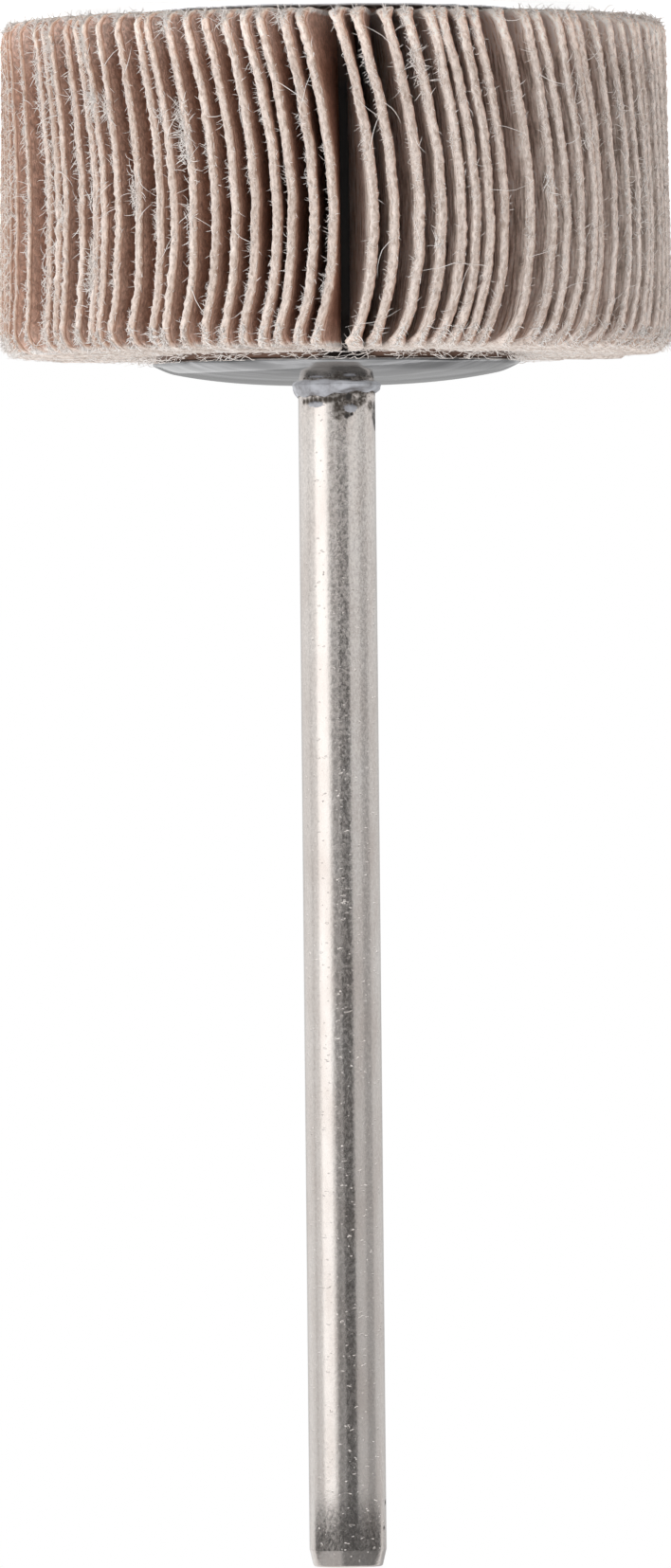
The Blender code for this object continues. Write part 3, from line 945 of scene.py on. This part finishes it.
def make_fuzz(flaps, finish, rng):
    """Short cotton fibres along every cut edge, in one piece for each quarter of the wheel."""
    pieces = []
    for name, own in quarters(flaps):
        rim = [rim_fibres(flap, rng, RIM_FIBRES[name]) for flap in own]
        fringe = []
        for sign, part in FRINGE_SHARE.items():
            fringe += [corner_fibres(flap, rng, round(CORNER_FIBRES[name] * part), sign) for flap in own]
        ends = []
        for sign, count in END_FIBRES.items():
            ends += [end_fibres(flap, rng, count, sign) for flap in own]
        short = fibre_lines(rng, rim, RIM_FIBRE_LENGTH, RIM_FIBRE_POINTS, RIM_FIBRE_CURL)
        lying = fibre_lines(rng, ends, END_FIBRE_LENGTH, END_FIBRE_POINTS, END_FIBRE_CURL)
        matted = fibre_lines(rng, fringe, FRINGE_LENGTH, RIM_FIBRE_POINTS, RIM_FIBRE_CURL)
        groups = ((short, RIM_FIBRE_THICKNESS), (lying, 1.0), (matted, FRINGE_THICKNESS))
        pieces.append(threads(f"fuzz_{name}", groups, finish, rng))
    return pieces


def nearest_flap(flaps, angle, height):
    """The flap whose rim passes closest to an angle at a height."""
    gaps = []
    for flap in flaps:
        x, y, _ = flap.point(np.array([WHEEL_RADIUS]), np.array([height]))[0]
        gaps.append(abs(math.remainder(math.atan2(y, x) - angle, 2 * math.pi)))
    return flaps[int(np.argmin(gaps))]


def make_lint(finish, rng):
    """Threads caught between the flaps' ends and the dished washer, all outside its rim."""
    low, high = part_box("shank_washer")
    turn = rng.uniform(0.0, 2 * math.pi, LINT_FIBRES)
    reach = high.x + rng.uniform(0.0, 0.90, LINT_FIBRES) * MM
    level = low.z + rng.uniform(-0.24, -0.02, LINT_FIBRES) * MM
    starts = np.stack([reach * np.cos(turn), reach * np.sin(turn), level], axis=1)
    sideways = np.stack([-np.sin(turn), np.cos(turn), 0 * turn], axis=1)
    inward = np.stack([-np.cos(turn), -np.sin(turn), 0 * turn], axis=1)
    heading = sideways * rng.normal(size=(LINT_FIBRES, 1)) + inward * rng.uniform(-0.4, 0.5, (LINT_FIBRES, 1))
    heading[:, 2] = rng.normal(0.02, 0.12, LINT_FIBRES)
    lengths = rng.uniform(*LINT_LENGTH, LINT_FIBRES) * rng.choice([1.0, 1.0, 1.0, 1.8], LINT_FIBRES)
    lines = grow(rng, starts, heading, lengths, LINT_POINTS, LINT_CURL)
    far = np.linalg.norm(lines[..., :2], axis=-1)
    lines[..., :2] *= np.maximum(1.0, (high.x + 0.02 * MM) / far)[..., None]
    return threads("caught_lint", ((lines, 1.0),), finish, rng, LINT_SLACK)


def make_strays(flaps, finish, rng):
    """Longer curly threads: some anywhere on the rim, and most in tangles."""
    pick = rng.integers(0, len(flaps), STRAY_FIBRES)
    where = rng.uniform(WHEEL_LOW, WHEEL_LOW + WHEEL_WIDTH, STRAY_FIBRES)
    starts, headings = [], []
    for i in range(STRAY_FIBRES):
        flap = flaps[pick[i]]
        here, out, up, normal = flap.frame_at(flap.outline(where[i:i + 1]), where[i:i + 1])
        starts.append(here[0])
        headings.append(normal[0] * rng.normal() + up[0] * rng.normal() + out[0] * 0.1)
    for angle, height, spread, count in TANGLES:
        flap = nearest_flap(flaps, math.radians(angle), height * MM)
        level = height * MM + rng.normal(size=count) * spread * MM
        level = np.clip(level, flap.low + 0.1 * MM, flap.high - 0.1 * MM)
        reach = flap.outline(level) - rng.uniform(0.0, 0.12, count) * MM
        here, out, up, normal = flap.frame_at(reach, level)
        starts.extend(here - normal * rng.uniform(-0.5, 1.5, (count, 1)) * FLAP_THICKNESS / 2)
        heading = up * rng.normal(size=(count, 1)) + out * rng.uniform(0.0, 0.35, (count, 1))
        headings.extend(heading - normal * rng.normal(0.15, 0.45, (count, 1)))
    starts = np.array(starts)
    lengths = rng.uniform(*TANGLE_LENGTH, len(starts))
    lengths[:STRAY_FIBRES] = rng.uniform(*STRAY_LENGTH, STRAY_FIBRES)
    lines = grow(rng, starts, np.array(headings), lengths, STRAY_POINTS, STRAY_CURL)
    return threads("stray_threads", ((lines, 1.0),), finish, rng)


def threads(name, groups, finish, rng, slack=0.0):
    """One mesh of threads, kept off the bench and close to the rim. Each group has its own thickness."""
    limit = WHEEL_RADIUS + FIBRE_REACH
    parts = []
    for lines, thickness in groups:
        far = np.linalg.norm(lines[..., :2], axis=-1)
        ceiling = WHEEL_LOW + WHEEL_WIDTH + end_rise(far) + 0.05 * MM + slack
        lines[..., 2] = np.clip(lines[..., 2], WHEEL_LOW - HEAD_FUZZ_DEPTH, ceiling)
        lines[..., :2] *= np.minimum(1.0, limit / np.maximum(far, 1e-9))[..., None]
        parts.append(tube_mesh(lines, rng.uniform(*FIBRE_RADIUS, len(lines)) * thickness))
    return mesh_from_arrays(name, *joined(parts), materials=[finish])


def turned(name, profile, steps, finish, closed=False):
    """A solid of revolution about Z, as a smooth mesh. Its profile runs down the outer side."""
    model = bmesh.new()
    verts = [model.verts.new((radius, 0.0, height)) for radius, height in profile]
    chain = [model.edges.new(pair) for pair in zip(verts, verts[1:])]
    if closed:
        chain.append(model.edges.new((verts[-1], verts[0])))
    bmesh.ops.spin(
        model, geom=verts + chain, cent=(0, 0, 0), axis=(0, 0, 1), dvec=(0, 0, 0),
        angle=2 * math.pi, steps=steps, use_merge=True, use_duplicate=False,
    )
    bmesh.ops.remove_doubles(model, verts=model.verts, dist=1e-7)
    bmesh.ops.recalc_face_normals(model, faces=model.faces)
    return from_model(name, model, finish)


def arc(center, radius, start, end, count):
    """Points on an arc in the profile plane, angles in degrees."""
    turns = [math.radians(start + (end - start) * i / count) for i in range(count + 1)]
    return [(center[0] + radius * math.cos(t), center[1] + radius * math.sin(t)) for t in turns]


def make_shank(finish):
    low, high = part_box("shank")
    radius = SHANK_RADIUS
    end_radius = radius - SHANK_CHAMFER_DEPTH
    shoulder = high.z - SHANK_CHAMFER_LENGTH
    profile = [(0.0, high.z), (end_radius * 0.6, high.z)]
    profile += arc((end_radius - SHANK_END_ROUND, high.z - SHANK_END_ROUND), SHANK_END_ROUND, 90, 10, 6)
    profile += [(radius - 0.012 * MM, shoulder + 0.03 * MM), (radius, shoulder - 0.03 * MM)]
    profile += [(radius, shoulder + (low.z + 0.03 * MM - shoulder) * i / 24) for i in range(1, 25)]
    profile += [(radius - 0.03 * MM, low.z), (0.0, low.z)]
    return turned("steel_shank", profile, 96, finish)


def dish_height(radius, rim):
    return WASHER_DISH * (1.0 - (radius / rim) ** WASHER_DISH_POWER)


def make_shank_washer(finish):
    """The dished washer. Its edge is rolled thin where it meets the flaps."""
    low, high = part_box("shank_washer")
    rim = high.x
    radii = [BORE_RADIUS + (rim - 0.02 * MM - BORE_RADIUS) * i / 36 for i in range(37)]
    top = []
    for radius in radii:
        near = max(0.0, (radius - rim + WASHER_ROLL) / WASHER_ROLL)
        sheet = WASHER_SHEET + (WASHER_EDGE_SHEET - WASHER_SHEET) * near**1.5
        top.append((radius, low.z + sheet + dish_height(radius, rim)))
    soft = WASHER_EDGE_SHEET / 2
    edge = arc((rim - soft, low.z + soft), soft, 60, -60, 4)
    under = [(radius, low.z + dish_height(radius, rim)) for radius in reversed(radii[::3])]
    return turned("dished_washer", top + edge + under, 144, finish, closed=True)


def make_head_washer(finish):
    """The head washer: flat in the middle, and sprung up a little towards its thin rim."""
    low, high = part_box("head_washer")
    rim = high.x
    edge = rim - HEAD_WASHER_ROUND
    profile = [(BORE_RADIUS, high.z), (rim * 0.5, high.z)]
    profile += arc((edge, high.z - HEAD_WASHER_ROUND), HEAD_WASHER_ROUND, 90, 0, 5)
    under = low.z + HEAD_WASHER_SPRING + HEAD_WASHER_ROUND
    profile += arc((edge, under), HEAD_WASHER_ROUND, 0, -80, 5)
    for i in range(1, 13):
        share = 1.0 - i / 12
        radius = HEAD_WASHER_FLAT + (edge - HEAD_WASHER_FLAT) * share
        profile.append((radius, low.z + HEAD_WASHER_SPRING * share**1.6))
    profile.append((BORE_RADIUS, low.z))
    return turned("flat_washer", profile, 144, finish, closed=True)


def make_bead(finish):
    """The fillet of adhesive: full on the picture's left, slack on its right, with three smears."""
    low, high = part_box("adhesive_bead")
    lumps = Wave(random.Random(5), (0.5 * MM, 2.4 * MM))
    brink = Wave(random.Random(8), (0.7 * MM, 2.4 * MM))
    skin = SHANK_RADIUS + 0.005 * MM
    start = SHANK_RADIUS + 0.02 * MM
    model = bmesh.new()
    rings = []
    for i in range(BEAD_STEPS):
        turn = 2 * math.pi * i / BEAD_STEPS
        around = turn * SHANK_RADIUS
        left = min(1.0, max(0.0, (math.cos(turn) - 0.08) / 0.20))
        limb = max(0.0, -math.cos(turn) - 0.5)
        run = math.exp(-((math.degrees(turn) - BEAD_RUN_BEARING) / BEAD_RUN_SPREAD) ** 2)
        foot = BEAD_FOOT + BEAD_RUN * run
        power = BEAD_SLOPE_POWER + BEAD_RUN_POWER * run
        share = BEAD_CLIMB + BEAD_CLIMB_LEFT * left - BEAD_SLACK_RIGHT * limb
        share += BEAD_BRINK * float(brink(around))
        top = low.z + (high.z - low.z) * share
        ring = [(skin, top)]
        for k in range(BEAD_ROWS + 1):
            fall = k / BEAD_ROWS
            lump = BEAD_LUMP * float(lumps(around + fall * 0.7 * MM))
            swell = math.sin(math.pi * min(1.0, fall * 1.1)) * lump
            radius = start + (foot - start) * fall**power + swell
            ring.append((max(radius, SHANK_RADIUS + 0.01 * MM), top + (low.z - top) * fall))
        ring.append((foot + 0.03 * MM, low.z - BEAD_SINK))
        ring.append((skin, low.z - BEAD_SINK))
        rings.append([model.verts.new((r * math.cos(turn), r * math.sin(turn), z)) for r, z in ring])
    for here, following in zip(rings, rings[1:] + rings[:1]):
        for k in range(len(here)):
            j = (k + 1) % len(here)
            model.faces.new((here[k], here[j], following[j], following[k]))
    for smear in GLUE_SMEARS:
        add_smear(model, *smear)
    bmesh.ops.recalc_face_normals(model, faces=model.faces)
    return from_model("adhesive_fillet", model, finish)


def add_smear(model, angle, height, width, tall, thick):
    """A closed flat drop of adhesive on the shank, at an angle in degrees and a height in mm."""
    turn = math.radians(angle)
    made = bmesh.ops.create_uvsphere(model, u_segments=20, v_segments=12, radius=1.0)
    wave = Wave(random.Random(int(height * 100)), (0.5, 1.6), 5)
    for vert in made["verts"]:
        around = math.atan2(vert.co.z, vert.co.x)
        spread = 1.0 + 0.16 * float(wave(around * 1.5))
        across = vert.co.x * width / 2 * spread * MM
        level = (height + vert.co.z * tall / 2 * spread) * MM
        reach = SHANK_RADIUS + vert.co.y * thick * MM
        where = turn + across / SHANK_RADIUS
        vert.co = Vector((reach * math.cos(where), reach * math.sin(where), level))


def make_hub(finish):
    """The resin between the washers, seen only deep between the flaps."""
    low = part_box("head_washer")[1].z + 0.10 * MM
    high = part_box("shank_washer")[0].z - 0.10 * MM
    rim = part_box("shank_washer")[1].x
    radii = [BORE_RADIUS + (HUB_RADIUS - BORE_RADIUS) * i / 12 for i in range(13)]
    profile = [(radius, high + dish_height(radius, rim)) for radius in radii]
    profile += [(HUB_RADIUS, high + (low - high) * i / 8) for i in range(1, 9)]
    profile += [(BORE_RADIUS, low)]
    return turned("resin_hub", profile, 144, finish, closed=True)


def make_camera():
    distance = FOCAL_LENGTH_PX / PX_PER_MM * MM
    middle = (PICTURE_HEIGHT_PX / 2 - HEAD_PX) / PX_PER_MM * MM
    data = bpy.data.cameras.new("camera")
    data.sensor_width = SENSOR_WIDTH
    data.lens = SENSOR_WIDTH * FOCAL_LENGTH_PX / PICTURE_HEIGHT_PX
    data.clip_start = 0.05
    data.clip_end = 50.0
    camera = bpy.data.objects.new("camera", data)
    bpy.context.scene.collection.objects.link(camera)
    level = Euler((math.radians(90.0), 0.0, 0.0)).to_matrix()
    turned_over = level @ Euler((0.0, 0.0, VIEW_ROLL)).to_matrix()
    camera.rotation_euler = turned_over.to_euler()
    camera.location = (AXIS_OFFSET_PX / PX_PER_MM * MM, -distance, middle)
    bpy.context.scene.camera = camera


def make_lamp(name, place, power):
    """A soft lamp that points at the wheel, and that neither the camera nor the steel sees."""
    data = bpy.data.lights.new(name, "AREA")
    data.shape = "RECTANGLE"
    data.size, data.size_y = LAMP_SIZE
    data.energy = power
    lamp = bpy.data.objects.new(name, data)
    lamp.location = place
    lamp.rotation_euler = (Vector(LAMP_TARGET) - Vector(place)).to_track_quat("-Z", "Y").to_euler()
    lamp.visible_camera = False
    lamp.visible_glossy = False
    bpy.context.scene.collection.objects.link(lamp)


def make_card(name, bearing, span, level, heights):
    """An upright card that only metal reflects, so that the lamps alone light the cloth.

    bearing and span are angles round the shank, seen from above, from the camera to the
    picture's right.
    """
    made = Finish(name, 1.0, specular=0.0)
    made.set("Base Color", 0.0)
    made.set("Emission Color", 1.0)
    made.set("Emission Strength", level)
    model = bmesh.new()
    rows = []
    for height in heights:
        row = []
        for i in range(CARD_STEPS + 1):
            turn = math.radians(bearing + span * (i / CARD_STEPS - 0.5))
            place = (-CARD_DISTANCE * math.sin(turn), -CARD_DISTANCE * math.cos(turn), height)
            row.append(model.verts.new(place))
        rows.append(row)
    for i in range(CARD_STEPS):
        model.faces.new((rows[0][i], rows[0][i + 1], rows[1][i + 1], rows[1][i]))
    card = from_model(name, model, made.material, smooth=False)
    card.visible_camera = False
    card.visible_diffuse = False
    card.visible_transmission = False
    card.visible_shadow = False


def make_floor():
    """A white bench top. The camera sees it lifted to the white of the room, with a soft shadow."""
    made = Finish("floor", 0.95, specular=0.0)
    made.set("Base Color", 0.90)
    made.set("Emission Color", 1.0)
    made.set("Emission Strength", made.math("MULTIPLY", made.seen_or_mirrored(), FLOOR_LIFT))
    model = bmesh.new()
    bmesh.ops.create_circle(model, cap_ends=True, radius=FLOOR_RADIUS, segments=96)
    floor = from_model("floor", model, made.material, smooth=False)


def make_world():
    """Soft light from all round, behind a background that is seen as white."""
    world = bpy.data.worlds.new("studio")
    bpy.context.scene.world = world
    world.use_nodes = True
    made = Nodes(world.node_tree)
    made.tree.nodes.clear()
    through = made.add("ShaderNodeLightPath").outputs["Is Transmission Ray"]
    seen = made.math("MAXIMUM", made.seen_or_mirrored(), through)
    soft = made.add("ShaderNodeBackground", {"Color": 1.0, "Strength": WORLD_LEVEL}).outputs[0]
    white = made.add("ShaderNodeBackground", {"Color": 1.0, "Strength": 1.0}).outputs[0]
    mixed = made.add("ShaderNodeMixShader", {0: seen, 1: soft, 2: white}).outputs[0]
    made.add("ShaderNodeOutputWorld", {"Surface": mixed})


def main():
    bpy.context.scene.view_settings.view_transform = "Standard"
    make_camera()
    make_world()
    for lamp in LAMPS:
        make_lamp(*lamp)
    for card in CARDS:
        make_card(*card)
    make_floor()

    grit, cloth, edge = grit_material(), cloth_material(), edge_material()
    fibre = fibre_material()
    steel, sheet = shank_material(), washer_material("washer_steel", 1.0, 0.0)
    # Painted light: the head washer's copy of the steel is lifted 2.5 times, where it sits in the shade by
    # the bench.
    painted_light_sheet = washer_material("head_washer_steel", 2.5, 0.45)
    glue, resin = adhesive_material(), resin_material()

    wave_rng = random.Random(SEED + 1)
    flaps = [Flap(facts, wave_rng) for facts in flap_angles()]
    wheel = make_flaps(flaps, (grit, cloth, edge))
    wheel += make_fuzz(flaps, fibre, np.random.default_rng(SEED + 2))
    wheel.append(make_strays(flaps, fibre, np.random.default_rng(SEED + 3)))
    wheel.append(make_lint(fibre, np.random.default_rng(SEED + 4)))
    wheel.append(make_hub(resin))
    for piece in wheel:
        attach(piece, "root")
        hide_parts("flap_pack")

    fitted = (
        (make_shank(steel), "shank", "bright_steel"),
        (make_shank_washer(sheet), "shank_washer", "washer_steel"),
        (make_head_washer(painted_light_sheet), "head_washer", "washer_steel"),
        (make_bead(glue), "adhesive_bead", "adhesive"),
    )
    for piece, node_name, slot_name in fitted:
        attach(piece, "root")
        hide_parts(node_name)


main()

bpy.context.view_layer.update()
